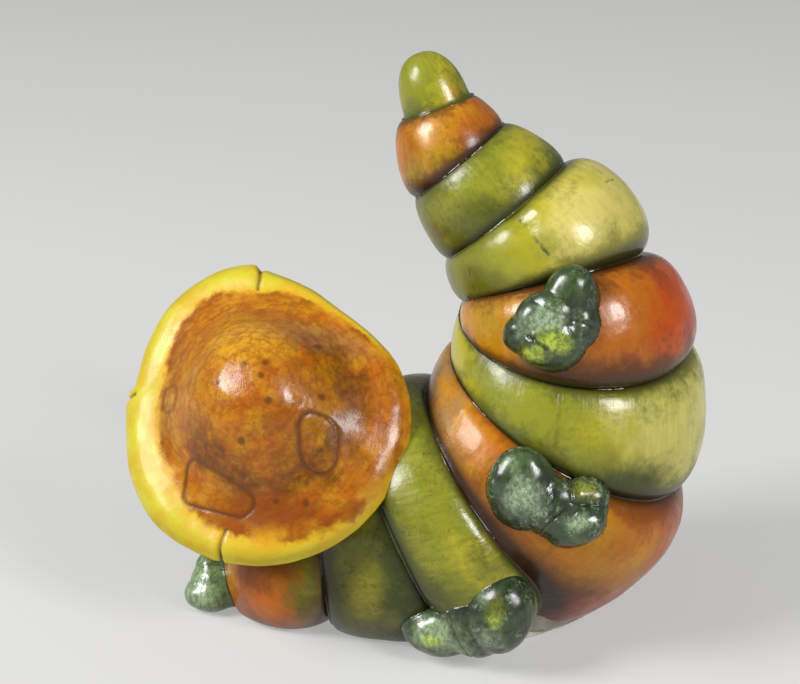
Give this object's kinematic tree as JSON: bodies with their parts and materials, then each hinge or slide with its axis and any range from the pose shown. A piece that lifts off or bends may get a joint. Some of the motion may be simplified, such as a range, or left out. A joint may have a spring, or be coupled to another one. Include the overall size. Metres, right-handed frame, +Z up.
{
  "type": "inchworm figurine",
  "caption": "Glazed ceramic inchworm ornament with fat rings, a raised curling tail, stubby feet and a mushroom cap for a hat.",
  "frame": {"origin": "on the flat underside of the clay foot, under the middle of the body on the ground", "axes": "+Z up; +X from the head towards the tail; the inchworm's left side and the top of its hat face -Y"},
  "size_m": [0.1355, 0.0799, 0.1347],
  "materials": {
    "olive_green_glaze": "glossy",
    "pale_green_glaze": "glossy",
    "orange_glaze": "glossy",
    "brown_glaze": "glossy",
    "dark_green_glaze": "glossy",
    "black_glaze": "glossy",
    "red_glaze": "glossy",
    "bare_clay": "matt, unglazed"
  },
  "bodies": {
    "root": {"tail_tip": "olive_green_glaze", "tail_ring_1": "orange_glaze", "tail_ring_2": "olive_green_glaze", "tail_ring_3": "pale_green_glaze", "body_ring_1": "orange_glaze", "body_ring_2": "olive_green_glaze", "rump_ring": "orange_glaze", "body_ring_3": "olive_green_glaze", "body_ring_4": "olive_green_glaze", "chest_ring": "orange_glaze", "head": "olive_green_glaze", "left_eye": "black_glaze", "right_eye": "black_glaze", "nose": "red_glaze", "mushroom_cap": "brown_glaze", "leg_left_1": "dark_green_glaze", "leg_left_2": "dark_green_glaze", "leg_left_3": "dark_green_glaze", "leg_left_4": "dark_green_glaze", "leg_right_1": "dark_green_glaze", "leg_right_2": "dark_green_glaze", "leg_right_3": "dark_green_glaze", "leg_right_4": "dark_green_glaze", "base": "bare_clay"}
  },
  "joints": []
}
